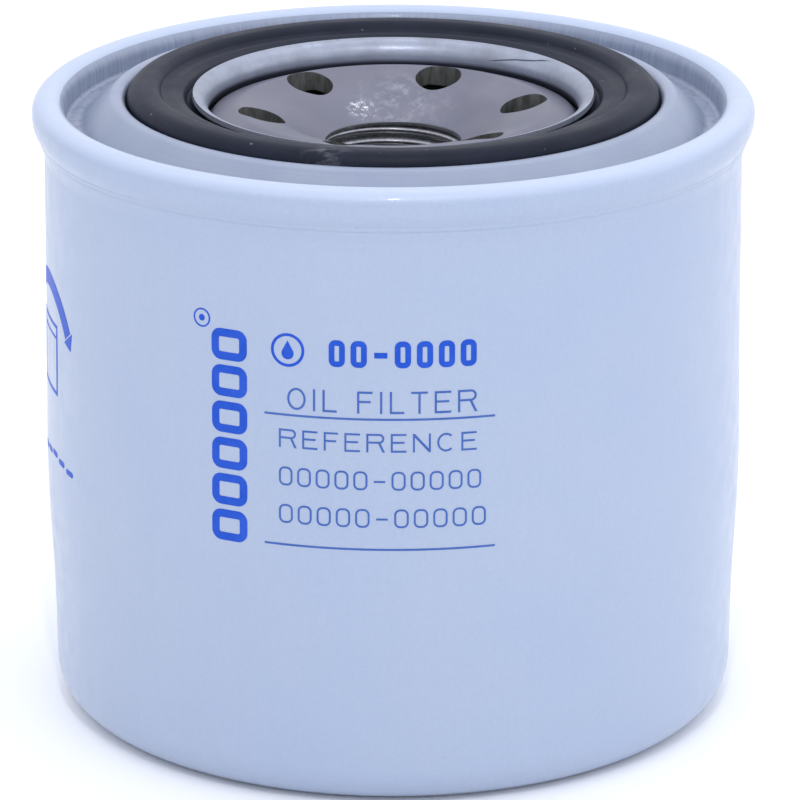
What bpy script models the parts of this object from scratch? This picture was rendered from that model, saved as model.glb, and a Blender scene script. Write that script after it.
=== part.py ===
"""Spin-on oil filter, built as it is assembled: a drawn can seamed to a stamped lid that carries
the tapping plate and gasket, with the pleated element, its valves and its springs inside.

Units are metres (sizes are written in millimetres times MM), +Z is up, the closed end of the can
stands on z = 0 and the threaded end faces up. Run with: blender --background --python part.py
"""
import math

import bmesh
import bpy
from mathutils import Matrix, Vector

MM = 0.001

# Driving dimensions
RIM_RADIUS = 46.75 * MM         # outside of the double seam
RIM_TOP = 81.6 * MM             # crest of the seam, the datum of everything at the open end
CAN_SHEET = 0.55 * MM
LID_SHEET = 0.6 * MM
GAP = 0.32 * MM                 # between pieces that touch on the real filter
OUTER_SIDES = 32                # facets round the can, lid, plate, gasket and valve
INNER_SIDES = 24                # facets round the pieces of the element
SHARP_ANGLE = math.radians(35)
ON_AXIS = 1e-7

# Double seam, from the outside in: seaming wall, body hook, cover hook, can wall, chuck wall
SEAMING_WALL = RIM_RADIUS - LID_SHEET / 2
SEAM_LEAN = 0.08 * MM           # extra room beside the body hook, as the seaming wall leans in
BODY_HOOK = SEAMING_WALL - LID_SHEET / 2 - GAP - SEAM_LEAN - CAN_SHEET / 2
COVER_HOOK = BODY_HOOK - CAN_SHEET / 2 - GAP - LID_SHEET / 2
SEAMED_WALL = COVER_HOOK - LID_SHEET / 2 - GAP - CAN_SHEET / 2
CHUCK_WALL = SEAMED_WALL - CAN_SHEET / 2 - GAP - LID_SHEET / 2
SEAM_FOOT_Z = RIM_TOP - 4.62 * MM   # centre of the turn under the body hook
SEAM_FOOT_BEND = 0.535 * MM
LEANING_WALL = ((46.0 * MM, RIM_TOP - 4.15 * MM), (46.27 * MM, RIM_TOP - 3.5 * MM),
                (46.41 * MM, RIM_TOP - 2.9 * MM))
SEAM_COMPOUND_RADIUS = 0.3 * MM
HOOK_BEND_Z = RIM_TOP - 2.1 * MM
BODY_HOOK_END = RIM_TOP - 3.5 * MM

# Canister (radii of the sheet's middle)
SHOULDER_Z = SEAM_FOOT_Z - SEAM_FOOT_BEND - LID_SHEET / 2 - GAP - CAN_SHEET / 2
WALL_TOP_RADIUS = 44.93 * MM
WALL = ((45.02 * MM, 58.0 * MM), (45.33 * MM, 34.0 * MM), (44.7 * MM, 16.5 * MM))
BOTTOM_CORNER_RADIUS = 4.93 * MM
BOTTOM_WALL_RADIUS = 44.45 * MM
STAND_RING_INNER = 29.5 * MM
BOTTOM_PANEL_RADIUS = 28.1 * MM
BOTTOM_PANEL_RISE = 1.1 * MM

# Lid (heights below the rim crest are of the sheet's middle)
CHANNEL_DEPTH = 4.2 * MM
CHANNEL_INNER = 40.3 * MM
SHOULDER_OUTER = 36.3 * MM
SHOULDER_INNER = 35.0 * MM
SHOULDER_DEPTH = 0.4 * MM
GROOVE_DEPTH = 4.3 * MM
NECK_RADIUS = 24.3 * MM
NECK_BEND = 2.2 * MM            # where the neck turns out over the tapping plate
LIP_CURL = 1.9 * MM             # radius of the curled lip that keeps the gasket in
LIP_EDGE = 26.25 * MM           # where the lip's sheet ends

# Gasket
GASKET_RADIUS = 34.4 * MM
GASKET_INNER = 24.95 * MM
BEAD_INNER = 30.5 * MM
BEAD_RISE = 1.3 * MM            # above the rim crest
BEAD_OUTER_FILLET = 1.5 * MM
BEAD_INNER_FILLET = 1.3 * MM
BEAD_DRAFT = 0.4 * MM           # the bead's inner side leans in by this much at its foot
FLANGE_RISE = 0.2 * MM
FLANGE_INNER = 26.8 * MM        # where the flange dips to pass under the lip
GASKET_HEEL = 1.75 * MM         # follows the neck's bend
TUCK = ((26.6 * MM, RIM_TOP - 0.55 * MM), (26.1 * MM, RIM_TOP - 0.7 * MM),
        (25.3 * MM, RIM_TOP - 1.05 * MM), (GASKET_INNER, RIM_TOP - 1.9 * MM))

# Tapping plate
PLATE_RADIUS = 36.5 * MM
PLATE_SHEET = 2.4 * MM
PLATE_FLANGE = RIM_TOP - 4.9 * MM
PLATE_STEP = ((25.3 * MM, PLATE_FLANGE, 1.4 * MM), (23.45 * MM, RIM_TOP - 2.95 * MM, 0.5 * MM))
PLATE_CROWN = (19.9 * MM, RIM_TOP - 1.75 * MM)
PLATE_DISH = (14.8 * MM, RIM_TOP - 3.15 * MM)
PLATE_CROWN_BEND = 2.5 * MM
PLATE_DISH_BEND = 7.0 * MM
UNDER_DISH = (15.4 * MM, RIM_TOP - 5.45 * MM, 6.0 * MM)     # underside: radius, height, fillet
UNDER_CROWN = (19.4 * MM, RIM_TOP - 4.25 * MM, 1.5 * MM)
UNDER_STEP = (23.0 * MM, RIM_TOP - 5.4 * MM, 1.0 * MM)
UNDER_FLANGE_INNER = 25.2 * MM
UNDER_FLANGE_BEND = 1.5 * MM
THREAD_MINOR_RADIUS = 8.73 * MM  # 3/4-16 UNF, minor diameter 17.46 mm
HUB_RADIUS = 11.5 * MM
HUB_MOUTH = RIM_TOP - 6.6 * MM
HUB_MOUTH_RADIUS = 8.95 * MM
HUB_MOUTH_BEVEL = 0.5 * MM
HUB_SHOULDER = RIM_TOP - 7.75 * MM
HUB_SHOULDER_BEND = 1.2 * MM
HUB_END = RIM_TOP - 15.8 * MM
INLET_COUNT = 6
INLET_RADIUS = 3.05 * MM
INLET_CIRCLE = 17.2 * MM
INLET_START = math.radians(10.6)
INLET_SIDES = 12
INLET_CUT = 12.0 * MM           # length of the cutter, well over the plate's thickness

# Anti-drainback valve
VALVE_SHEET = 1.3 * MM
VALVE_COLLAR = 12.5 * MM
VALVE_COLLAR_TOP = RIM_TOP - 11.2 * MM
VALVE_BORE = 9.5 * MM
VALVE_SKIRT_BEND_RADIUS = 24.4 * MM
VALVE_FOOT = HUB_END - 0.4 * MM - VALVE_SHEET / 2
VALVE_SKIRT = (26.6 * MM, RIM_TOP - 8.3 * MM)

# Element stack
ELEMENT_RADIUS = 38.0 * MM
CAP_SHEET = 0.5 * MM
UPPER_CAP_Z = RIM_TOP - 18.1 * MM
LOWER_CAP_Z = 13.75 * MM
CAP_SKIRT = 4.0 * MM
UPPER_CAP_BORE = 11.9 * MM
LOWER_CAP_BORE = 9.0 * MM
POTTING_THICKNESS = 1.4 * MM
UPPER_POTTING_BORE = 12.6 * MM
LOWER_POTTING_BORE = 13.4 * MM
PLEATS = 32
PLEAT_OUTER = 36.6 * MM
PLEAT_INNER = 16.4 * MM
PAPER = 0.6 * MM
TUBE_RADIUS = 14.6 * MM         # middle of the tube's sheet
TUBE_HOLE_RADIUS = 2.2 * MM
TUBE_HOLE_ROWS = 4
TUBE_HOLE_COLUMNS = 6

# Bypass valve
SEAT_BOTTOM = 14.3 * MM
SEAT_TOP = 15.6 * MM
SEAT_RADIUS = 12.6 * MM
SEAT_SHEET = 0.8 * MM
CAGE_RADIUS = 10.4 * MM
CAGE_TOP = 27.4 * MM
CAGE_SHEET = 0.6 * MM
DISC_RADIUS = 8.4 * MM
DISC_UNDERSIDE = 1.8 * MM       # of the poppet's disc, above the seat
DISC_SHEET = 0.8 * MM
STEM_LENGTH = 13.0 * MM
STEM_RADIUS = 1.5 * MM

# Springs
SUPPORT_WIRE = 2.0 * MM
SUPPORT_COIL = 21.0 * MM
SUPPORT_BOTTOM = 2.0 * MM
SUPPORT_TOP = 12.2 * MM
SUPPORT_TURNS = 2.75
BYPASS_WIRE = 1.0 * MM
BYPASS_COIL = 5.2 * MM
BYPASS_TURNS = 4.0


# ---------------------------------------------------------------- outlines in the (radius, z) plane

def arc(center, radius, start, end, steps):
    """Points on a circle, angles in degrees, both ends included."""
    points = []
    for step in range(steps + 1):
        angle = math.radians(start + (end - start) * step / steps)
        points.append((center[0] + radius * math.cos(angle), center[1] + radius * math.sin(angle)))
    return points


def rounded(corners, steps=2):
    """An open run of (r, z) or (r, z, fillet) corners, with each fillet as an arc of chords."""
    points = []
    for index, corner in enumerate(corners):
        here = Vector(corner[:2])
        fillet = corner[2] if len(corner) > 2 else 0.0
        if not fillet or index in (0, len(corners) - 1):
            points.append(tuple(here))
            continue
        to_last = (Vector(corners[index - 1][:2]) - here).normalized()
        to_next = (Vector(corners[index + 1][:2]) - here).normalized()
        half = to_last.angle(to_next) / 2
        center = here + (to_last + to_next).normalized() * fillet / math.sin(half)
        first = here + to_last * fillet / math.tan(half) - center
        turn = first.angle_signed(here + to_next * fillet / math.tan(half) - center)
        for step in range(steps + 1):
            spoke = Matrix.Rotation(-turn * step / steps, 2) @ first
            points.append(tuple(center + spoke))
    return points


def offset(path, distance, closed=False):
    """The path moved sideways by a distance to its left, with mitred corners."""
    count = len(path)
    moved = []
    for index, point in enumerate(path):
        here = Vector(point)
        directions = []
        if closed or index > 0:
            directions.append((here - Vector(path[index - 1])).normalized())
        if closed or index < count - 1:
            directions.append((Vector(path[(index + 1) % count]) - here).normalized())
        normals = [Vector((-d.y, d.x)) for d in directions]
        mitre = (normals[0] + normals[-1]).normalized()
        moved.append(tuple(here + mitre * distance / mitre.dot(normals[0])))
    return moved


def sheet(path, thickness):
    """The closed outline of a sheet of one thickness whose middle follows the path."""
    return offset(path, thickness / 2) + offset(path, -thickness / 2)[::-1]


# ---------------------------------------------------------------- solids

def finish_object(name, work, material, location=(0, 0, 0)):
    """Turn a bmesh into a named object with its material and smooth round faces."""
    bmesh.ops.recalc_face_normals(work, faces=work.faces)
    mesh = bpy.data.meshes.new(name)
    work.to_mesh(mesh)
    work.free()
    mesh.shade_smooth()
    mesh.set_sharp_from_angle(angle=SHARP_ANGLE)
    mesh.materials.append(material)
    made = bpy.data.objects.new(name, mesh)
    made.location = location
    bpy.context.scene.collection.objects.link(made)
    return made


def lathe(name, outline, material, sides=INNER_SIDES, location=(0, 0, 0)):
    """Turn a closed (r, z) outline about Z; points on the axis become single poles."""
    work = bmesh.new()
    rings = []
    angles = [2 * math.pi * side / sides for side in range(sides)]
    for radius, height in outline:
        if radius < ON_AXIS:
            rings.append([work.verts.new((0, 0, height))])
            continue
        rings.append([work.verts.new((radius * math.cos(a), radius * math.sin(a), height)) for a in angles])
    for ring, following in zip(rings, rings[1:] + rings[:1]):
        for side in range(sides):
            after = (side + 1) % sides
            corners = [ring[side % len(ring)], ring[after % len(ring)],
                       following[after % len(following)], following[side % len(following)]]
            unique = list(dict.fromkeys(corners))
            if len(unique) > 2:
                work.faces.new(unique)
    return finish_object(name, work, material, location)


def prism(name, loops, low, high, material):
    """Extrude one closed loop, or the strip between two loops with equal counts, from low to high."""
    work = bmesh.new()
    bottom = [[work.verts.new((x, y, low)) for x, y in loop] for loop in loops]
    top = [[work.verts.new((x, y, high)) for x, y in loop] for loop in loops]
    count = len(loops[0])
    for below, above in zip(bottom, top):
        for index in range(count):
            after = (index + 1) % count
            work.faces.new((below[index], below[after], above[after], above[index]))
    for level in (bottom, top):
        if len(loops) == 1:
            work.faces.new(level[0])
            continue
        for index in range(count):
            after = (index + 1) % count
            work.faces.new((level[0][index], level[0][after], level[1][after], level[1][index]))
    return finish_object(name, work, material)


def coil(name, coil_radius, wire_radius, low, high, turns, material, location=(0, 0, 0), sections=12):
    """A compression spring of round wire, with part of each end turn laid flat."""
    wire_sides = 6
    flat = 0.4                  # turns at each end with no pitch
    count = round(turns * sections)
    bottom = low + wire_radius
    travel = high - low - 2 * wire_radius
    work = bmesh.new()
    rings = []
    for step in range(count + 1):
        turn = turns * step / count
        rise = min(max((turn - flat) / (turns - 2 * flat), 0.0), 1.0)
        around = 2 * math.pi * turn
        ring = []
        for side in range(wire_sides):
            angle = 2 * math.pi * side / wire_sides
            reach = coil_radius + wire_radius * math.cos(angle)
            height = bottom + travel * rise + wire_radius * math.sin(angle)
            ring.append(work.verts.new((reach * math.cos(around), reach * math.sin(around), height)))
        rings.append(ring)
    for ring, following in zip(rings, rings[1:]):
        for side in range(wire_sides):
            after = (side + 1) % wire_sides
            work.faces.new((ring[side], ring[after], following[after], following[side]))
    work.faces.new(rings[0])
    work.faces.new(rings[-1])
    return finish_object(name, work, material, location)


def cutter(name, work):
    """A hidden solid for a Boolean to subtract."""
    bmesh.ops.recalc_face_normals(work, faces=work.faces)
    mesh = bpy.data.meshes.new(name)
    work.to_mesh(mesh)
    work.free()
    tool = bpy.data.objects.new(name, mesh)
    tool.hide_render = True
    tool.display_type = "WIRE"
    bpy.context.scene.collection.objects.link(tool)
    return tool


def cut(target, tool):
    """Subtract the tool with the exact solver; both stay editable."""
    modifier = target.modifiers.new("cut", "BOOLEAN")
    modifier.operation = "DIFFERENCE"
    modifier.solver = "EXACT"
    modifier.object = tool


def principled(name, color, roughness, metallic=0.0):
    """A Principled material with the piece's colour, roughness and metallic value."""
    made = bpy.data.materials.new(name)
    made.use_nodes = True
    shader = made.node_tree.nodes["Principled BSDF"]
    shader.inputs["Base Color"].default_value = (*color, 1.0)
    shader.inputs["Roughness"].default_value = roughness
    shader.inputs["Metallic"].default_value = metallic
    made.diffuse_color = (*color, 1.0)
    return made


# ---------------------------------------------------------------- the shell

def build_canister():
    """Deep-drawn can: raised bottom panel, rounded corner, wall, shoulder, seamed wall and body hook."""
    arch_middle = (BODY_HOOK + SEAMED_WALL) / 2
    arch = arc((arch_middle, HOOK_BEND_Z), (BODY_HOOK - SEAMED_WALL) / 2, 0, 180, 3)
    low = CAN_SHEET / 2
    panel = low + BOTTOM_PANEL_RISE
    shoulder = [(SEAMED_WALL, SHOULDER_Z, 0.45 * MM), (WALL_TOP_RADIUS, SHOULDER_Z, 0.4 * MM)]
    foot = [(BOTTOM_WALL_RADIUS, low, BOTTOM_CORNER_RADIUS), (STAND_RING_INNER, low)]
    body = rounded([arch[-1]] + shoulder + [*WALL] + foot, steps=3)[1:]
    raised = [(BOTTOM_PANEL_RADIUS, panel), (0.0, panel)]
    path = [(BODY_HOOK, BODY_HOOK_END)] + arch + body + raised
    paint = principled("canister_paint", (0.55, 0.66, 0.86), 0.35)
    lathe("canister", sheet(path, CAN_SHEET), paint, OUTER_SIDES)


def build_seaming_lid():
    """Stamped lid: cover hook, seaming wall, channel, shoulder, gasket groove, neck and curled lip."""
    bottom_bend = arc((COVER_HOOK + SEAM_FOOT_BEND, SEAM_FOOT_Z), SEAM_FOOT_BEND, 180, 330, 3)
    crown = (SEAMING_WALL - CHUCK_WALL) / 2
    crest = arc(((SEAMING_WALL + CHUCK_WALL) / 2, RIM_TOP - LID_SHEET / 2 - crown), crown, 0, 180, 4)
    floor = RIM_TOP - CHANNEL_DEPTH
    shoulder = RIM_TOP - SHOULDER_DEPTH
    groove = RIM_TOP - GROOVE_DEPTH
    curl_center = (NECK_RADIUS + LIP_CURL, RIM_TOP - LIP_CURL)
    curl = arc(curl_center, LIP_CURL, 180, 92, 3)
    pressed = rounded([
        crest[-1], (CHUCK_WALL, floor, 0.9 * MM), (CHANNEL_INNER, floor, 1.4 * MM),
        (SHOULDER_OUTER, shoulder, 1.0 * MM), (SHOULDER_INNER, shoulder, 0.55 * MM),
        (SHOULDER_INNER, groove, 0.6 * MM), (NECK_RADIUS, groove, NECK_BEND), curl[0]])
    hook_end = HOOK_BEND_Z - SEAM_COMPOUND_RADIUS - GAP
    path = [(COVER_HOOK, hook_end)] + bottom_bend + [*LEANING_WALL] + crest + pressed[1:-1] + curl
    path.append((LIP_EDGE, RIM_TOP - 0.03 * MM))
    steel = principled("lid_steel", (0.52, 0.58, 0.7), 0.32, 0.4)
    lathe("seaming_lid", sheet(path, LID_SHEET), steel, OUTER_SIDES)


def build_seam_compound():
    """Bead of lining compound between the two hooks of the seam."""
    center = ((BODY_HOOK + SEAMED_WALL) / 2, HOOK_BEND_Z)
    bead = arc(center, SEAM_COMPOUND_RADIUS, 0, 300, 5)
    rubber = principled("seam_compound_grey", (0.3, 0.32, 0.33), 0.7)
    lathe("seam_compound", bead, rubber, OUTER_SIDES)


def build_sealing_gasket():
    """Moulded gasket: a raised bead with a flat land, and a flatter flange tucked under the lip."""
    bottom = RIM_TOP - GROOVE_DEPTH + LID_SHEET / 2 + GAP
    land = RIM_TOP + BEAD_RISE
    flange = RIM_TOP + FLANGE_RISE
    outline = rounded([
        (FLANGE_INNER, flange), *TUCK, (GASKET_INNER, bottom, GASKET_HEEL), (GASKET_RADIUS, bottom),
        (GASKET_RADIUS, land, BEAD_OUTER_FILLET), (BEAD_INNER, land, BEAD_INNER_FILLET),
        (BEAD_INNER - BEAD_DRAFT, flange)])
    rubber = principled("gasket_rubber", (0.03, 0.032, 0.038), 0.55)
    lathe("sealing_gasket", outline, rubber, OUTER_SIDES)


def build_tapping_plate():
    """Thick stamped plate: flat flange, crowned ring with the inlet holes, and a threaded hub."""
    underside = PLATE_FLANGE - PLATE_SHEET
    top = rounded([
        (PLATE_RADIUS, PLATE_FLANGE), *PLATE_STEP, (*PLATE_CROWN, PLATE_CROWN_BEND),
        (*PLATE_DISH, PLATE_DISH_BEND), (HUB_MOUTH_RADIUS, HUB_MOUTH),
        (THREAD_MINOR_RADIUS, HUB_MOUTH - HUB_MOUTH_BEVEL)])
    bottom = rounded([
        (HUB_RADIUS, HUB_END), (HUB_RADIUS, HUB_SHOULDER, HUB_SHOULDER_BEND), UNDER_DISH, UNDER_CROWN,
        UNDER_STEP, (UNDER_FLANGE_INNER, underside, UNDER_FLANGE_BEND), (PLATE_RADIUS, underside)])
    steel = principled("plate_steel", (0.34, 0.34, 0.4), 0.38, 0.8)
    outline = top + [(THREAD_MINOR_RADIUS, HUB_END)] + bottom
    plate = lathe("tapping_plate", outline, steel, OUTER_SIDES)
    work = bmesh.new()
    for index in range(INLET_COUNT):
        angle = INLET_START + 2 * math.pi * index / INLET_COUNT
        center = Vector((INLET_CIRCLE * math.cos(angle), INLET_CIRCLE * math.sin(angle), PLATE_FLANGE))
        bmesh.ops.create_cone(work, cap_ends=True, segments=INLET_SIDES, radius1=INLET_RADIUS,
                              radius2=INLET_RADIUS, depth=INLET_CUT, matrix=Matrix.Translation(center))
    cut(plate, cutter("inlet_hole_cutter", work))


def build_anti_drainback_valve():
    """Rubber valve: a collar round the hub, a foot on the element, and a skirt over the inlets."""
    path = rounded([
        (VALVE_BORE, VALVE_FOOT), (VALVE_COLLAR, VALVE_FOOT, 0.9 * MM),
        (VALVE_COLLAR, VALVE_COLLAR_TOP, 1.5 * MM), (VALVE_SKIRT_BEND_RADIUS, VALVE_SKIRT[1], 1.0 * MM),
        VALVE_SKIRT], steps=1)
    rubber = principled("drainback_nitrile", (0.05, 0.04, 0.035), 0.6)
    lathe("anti_drainback_valve", sheet(path, VALVE_SHEET), rubber, OUTER_SIDES)


# ---------------------------------------------------------------- the element

def build_end_caps():
    """Two dished steel caps, with an outer skirt over the pleats and a collar at the bore."""
    steel = principled("end_cap_steel", (0.62, 0.6, 0.52), 0.35, 0.8)
    for name, level, toward, bore in (("upper_end_cap", UPPER_CAP_Z, -1, UPPER_CAP_BORE),
                                      ("lower_end_cap", LOWER_CAP_Z, 1, LOWER_CAP_BORE)):
        corners = [(ELEMENT_RADIUS, level + toward * CAP_SKIRT), (ELEMENT_RADIUS, level, 0.9 * MM)]
        if name == "upper_end_cap":
            corners += [(bore, level, 0.8 * MM), (bore, level + toward * CAP_SKIRT)]
        else:
            corners += [(bore, level)]
        lathe(name, sheet(rounded(corners), CAP_SHEET), steel)


def element_levels():
    """The lowest and highest z of the paper and tube, between the two pottings."""
    low = LOWER_CAP_Z + CAP_SHEET / 2 + GAP + POTTING_THICKNESS + GAP
    high = UPPER_CAP_Z - CAP_SHEET / 2 - GAP - POTTING_THICKNESS - GAP
    return low, high


def build_pottings():
    """Rings of adhesive that seal the ends of the paper and the tube to the caps."""
    low, high = element_levels()
    resin = principled("plastisol", (0.62, 0.12, 0.08), 0.5)
    outer = ELEMENT_RADIUS - CAP_SHEET / 2 - GAP
    for name, bottom, bore in (("upper_potting", high + GAP, UPPER_POTTING_BORE),
                               ("lower_potting", low - GAP - POTTING_THICKNESS, LOWER_POTTING_BORE)):
        top = bottom + POTTING_THICKNESS
        lathe(name, [(bore, bottom), (outer, bottom), (outer, top), (bore, top)], resin)


def pleat_path():
    """Middle line of the pleated paper: flat-topped folds at the outer and inner radius."""
    pitch = 2 * math.pi / PLEATS
    outer_half = 0.75 * MM / PLEAT_OUTER
    inner_half = 0.5 * MM / PLEAT_INNER
    points = []
    for pleat in range(PLEATS):
        middle = pleat * pitch
        for radius, angle in ((PLEAT_OUTER, middle - outer_half), (PLEAT_OUTER, middle + outer_half),
                              (PLEAT_INNER, middle + pitch / 2 - inner_half),
                              (PLEAT_INNER, middle + pitch / 2 + inner_half)):
            points.append((radius * math.cos(angle), radius * math.sin(angle)))
    return points


def build_filter_media():
    """Pleated paper, one closed ribbon folded between the tube and the caps' skirts."""
    low, high = element_levels()
    path = pleat_path()
    loops = [offset(path, PAPER / 2, closed=True), offset(path, -PAPER / 2, closed=True)]
    paper = principled("filter_paper", (0.78, 0.66, 0.36), 0.9)
    prism("filter_media", loops, low, high, paper)


def build_media_seam_clip():
    """Folded metal strip that pinches the two ends of the paper together over one pleat."""
    low, high = element_levels()
    inside = 1.4 * MM
    wall = 0.4 * MM
    inner = 32.6 * MM
    back = PLEAT_OUTER + PAPER / 2 + 0.35 * MM
    outline = [(inner, inside), (back, inside), (back, -inside), (inner, -inside),
               (inner, -inside - wall), (back + wall, -inside - wall), (back + wall, inside + wall),
               (inner, inside + wall)]
    steel = principled("clip_steel", (0.6, 0.6, 0.6), 0.3, 0.9)
    prism("media_seam_clip", [outline], low + 5 * MM, high - 5 * MM, steel)


def build_centre_tube():
    """Perforated steel tube that keeps the paper from collapsing inward."""
    low, high = element_levels()
    steel = principled("tube_steel", (0.55, 0.56, 0.58), 0.4, 0.85)
    path = [(TUBE_RADIUS, low), (TUBE_RADIUS, high)]
    tube = lathe("centre_tube", sheet(path, CAP_SHEET), steel)
    work = bmesh.new()
    off_the_edges = 0.125
    for row in range(TUBE_HOLE_ROWS):
        height = low + (high - low) * (row + 0.5) / TUBE_HOLE_ROWS
        for column in range(TUBE_HOLE_COLUMNS):
            angle = 2 * math.pi * (column + 0.5 * (row % 2) + off_the_edges) / TUBE_HOLE_COLUMNS
            place = (Matrix.Rotation(angle, 4, "Z") @ Matrix.Translation((TUBE_RADIUS, 0, height))
                     @ Matrix.Rotation(math.pi / 2, 4, "Y"))
            bmesh.ops.create_cone(work, cap_ends=True, segments=8, radius1=TUBE_HOLE_RADIUS,
                                  radius2=TUBE_HOLE_RADIUS, depth=4 * MM, matrix=place)
    cut(tube, cutter("tube_hole_cutter", work))


# ---------------------------------------------------------------- the bypass valve

def build_bypass_seat_plate():
    """Ring with a raised seat, resting on the lower cap round its bore."""
    step = SEAT_BOTTOM + SEAT_SHEET
    outline = [(5.9 * MM, SEAT_BOTTOM), (SEAT_RADIUS, SEAT_BOTTOM), (SEAT_RADIUS, step), (7.1 * MM, step),
               (6.8 * MM, SEAT_TOP), (6.1 * MM, SEAT_TOP), (5.9 * MM, SEAT_TOP - 0.2 * MM)]
    steel = principled("seat_steel", (0.6, 0.6, 0.58), 0.3, 0.9)
    lathe("bypass_seat_plate", outline, steel)


def build_bypass_cage():
    """Cup over the valve with four windows, a foot on the seat plate and a guide hole for the stem."""
    foot = SEAT_BOTTOM + SEAT_SHEET + GAP + CAGE_SHEET / 2
    path = rounded([(SEAT_RADIUS, foot), (CAGE_RADIUS, foot, 0.6 * MM), (CAGE_RADIUS, CAGE_TOP, 0.8 * MM),
                    (2.3 * MM, CAGE_TOP)], steps=1)
    steel = principled("cage_steel", (0.66, 0.63, 0.5), 0.3, 0.9)
    cage = lathe("bypass_cage", sheet(path, CAGE_SHEET), steel)
    work = bmesh.new()
    window_width, window_height, window_depth = 8.0 * MM, 6.5 * MM, 4.0 * MM
    for index in range(4):
        place = (Matrix.Rotation(math.pi / 2 * (index + 0.5), 4, "Z")
                 @ Matrix.Translation((CAGE_RADIUS, 0, 21.5 * MM))
                 @ Matrix.Diagonal((window_depth, window_width, window_height, 1)))
        bmesh.ops.create_cube(work, size=1, matrix=place)
    cut(cage, cutter("cage_window_cutter", work))


def build_bypass_poppet():
    """Steel disc on a guide stem that is riveted through the seal; its origin is on the axis at the seat."""
    disc = DISC_UNDERSIDE
    rivet_head, rivet_height, rivet_neck = 2.6 * MM, 0.7 * MM, 1.3 * MM
    outline = [(0.0, -rivet_height), (rivet_head, -rivet_height), (rivet_head, 0.0), (rivet_neck, 0.0),
               (rivet_neck, disc), (DISC_RADIUS, disc), (DISC_RADIUS, disc + DISC_SHEET),
               (STEM_RADIUS, disc + DISC_SHEET), (STEM_RADIUS, STEM_LENGTH), (0.0, STEM_LENGTH + 0.5 * MM)]
    steel = principled("poppet_steel", (0.5, 0.51, 0.53), 0.3, 0.9)
    lathe("bypass_poppet", outline, steel, location=(0, 0, SEAT_TOP))


def build_bypass_seal():
    """Rubber washer on the underside of the poppet's disc; it meets the raised seat."""
    bore, rim, top, bevel = 1.65 * MM, 8.2 * MM, 1.45 * MM, 0.2 * MM
    outline = [(bore, GAP), (rim - bevel, GAP), (rim, GAP + bevel), (rim, top), (bore, top)]
    rubber = principled("bypass_seal_rubber", (0.04, 0.04, 0.045), 0.6)
    lathe("bypass_seal", outline, rubber, location=(0, 0, SEAT_TOP))


def build_bypass_spring():
    """Small compression spring between the poppet's disc and the top of the cage."""
    low = SEAT_TOP + DISC_UNDERSIDE + DISC_SHEET + GAP
    high = CAGE_TOP - CAGE_SHEET / 2 - GAP
    steel = principled("bypass_spring_steel", (0.45, 0.46, 0.5), 0.3, 0.9)
    coil("bypass_spring", BYPASS_COIL, BYPASS_WIRE / 2, low, high, BYPASS_TURNS, steel)


# ---------------------------------------------------------------- the element's support

def build_element_spring():
    """Heavy spring on the can's bottom panel that holds the element against the tapping plate."""
    steel = principled("element_spring_steel", (0.4, 0.42, 0.46), 0.32, 0.9)
    coil("element_spring", SUPPORT_COIL, SUPPORT_WIRE / 2, SUPPORT_BOTTOM, SUPPORT_TOP, SUPPORT_TURNS,
         steel, sections=16)


def build_spring_seat():
    """Pressed ring that centres the support spring under the lower cap."""
    thickness = 0.6 * MM
    level = LOWER_CAP_Z - CAP_SHEET / 2 - GAP - thickness / 2
    inner, outer, skirt = 17.2 * MM, 24.0 * MM, 2.2 * MM
    path = rounded([(inner, level), (outer, level, 0.6 * MM), (outer, level - skirt)], steps=1)
    steel = principled("spring_seat_steel", (0.6, 0.58, 0.5), 0.35, 0.85)
    lathe("spring_seat", sheet(path, thickness), steel)


def main():
    for leftover in list(bpy.data.objects):
        bpy.data.objects.remove(leftover)
    build_canister()
    build_seaming_lid()
    build_seam_compound()
    build_sealing_gasket()
    build_tapping_plate()
    build_anti_drainback_valve()
    build_end_caps()
    build_pottings()
    build_filter_media()
    build_media_seam_clip()
    build_centre_tube()
    build_bypass_seat_plate()
    build_bypass_cage()
    build_bypass_poppet()
    build_bypass_seal()
    build_bypass_spring()
    build_element_spring()
    build_spring_seat()


main()
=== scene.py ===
"""Looks of the spin-on oil filter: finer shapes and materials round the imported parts, the printed
marks on the can, a floor, soft light and the camera.

Units are metres (sizes are written in millimetres times MM), +Z is up, and the printed side of the
can faces -Y. Heights at the open end are measured from the crest of the double seam.
"""
import random
from math import cos, pi, radians, sin, tan

import bmesh
import bpy
from mathutils import Matrix, Vector


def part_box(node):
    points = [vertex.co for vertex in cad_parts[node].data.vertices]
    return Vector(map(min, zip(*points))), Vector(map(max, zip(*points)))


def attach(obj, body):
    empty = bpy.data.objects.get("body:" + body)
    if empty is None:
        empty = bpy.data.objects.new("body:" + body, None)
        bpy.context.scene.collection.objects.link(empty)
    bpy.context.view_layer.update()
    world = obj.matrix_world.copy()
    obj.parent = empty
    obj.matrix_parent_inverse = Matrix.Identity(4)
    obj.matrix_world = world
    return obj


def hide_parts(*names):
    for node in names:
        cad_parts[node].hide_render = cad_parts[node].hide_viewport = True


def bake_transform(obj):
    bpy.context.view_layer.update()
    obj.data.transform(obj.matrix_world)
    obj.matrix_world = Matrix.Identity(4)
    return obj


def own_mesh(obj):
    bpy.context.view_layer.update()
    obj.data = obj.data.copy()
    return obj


MM = 0.001
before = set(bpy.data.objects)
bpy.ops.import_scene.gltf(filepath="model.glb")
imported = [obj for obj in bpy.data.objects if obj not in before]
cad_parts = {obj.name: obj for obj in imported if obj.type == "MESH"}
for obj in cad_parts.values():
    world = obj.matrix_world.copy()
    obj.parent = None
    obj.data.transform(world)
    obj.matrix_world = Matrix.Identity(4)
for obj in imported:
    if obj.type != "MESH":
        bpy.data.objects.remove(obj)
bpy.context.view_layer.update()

# Driving sizes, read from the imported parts
BEAD_RISE = 1.3 * MM  # gasket's land above the seam's crest
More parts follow.
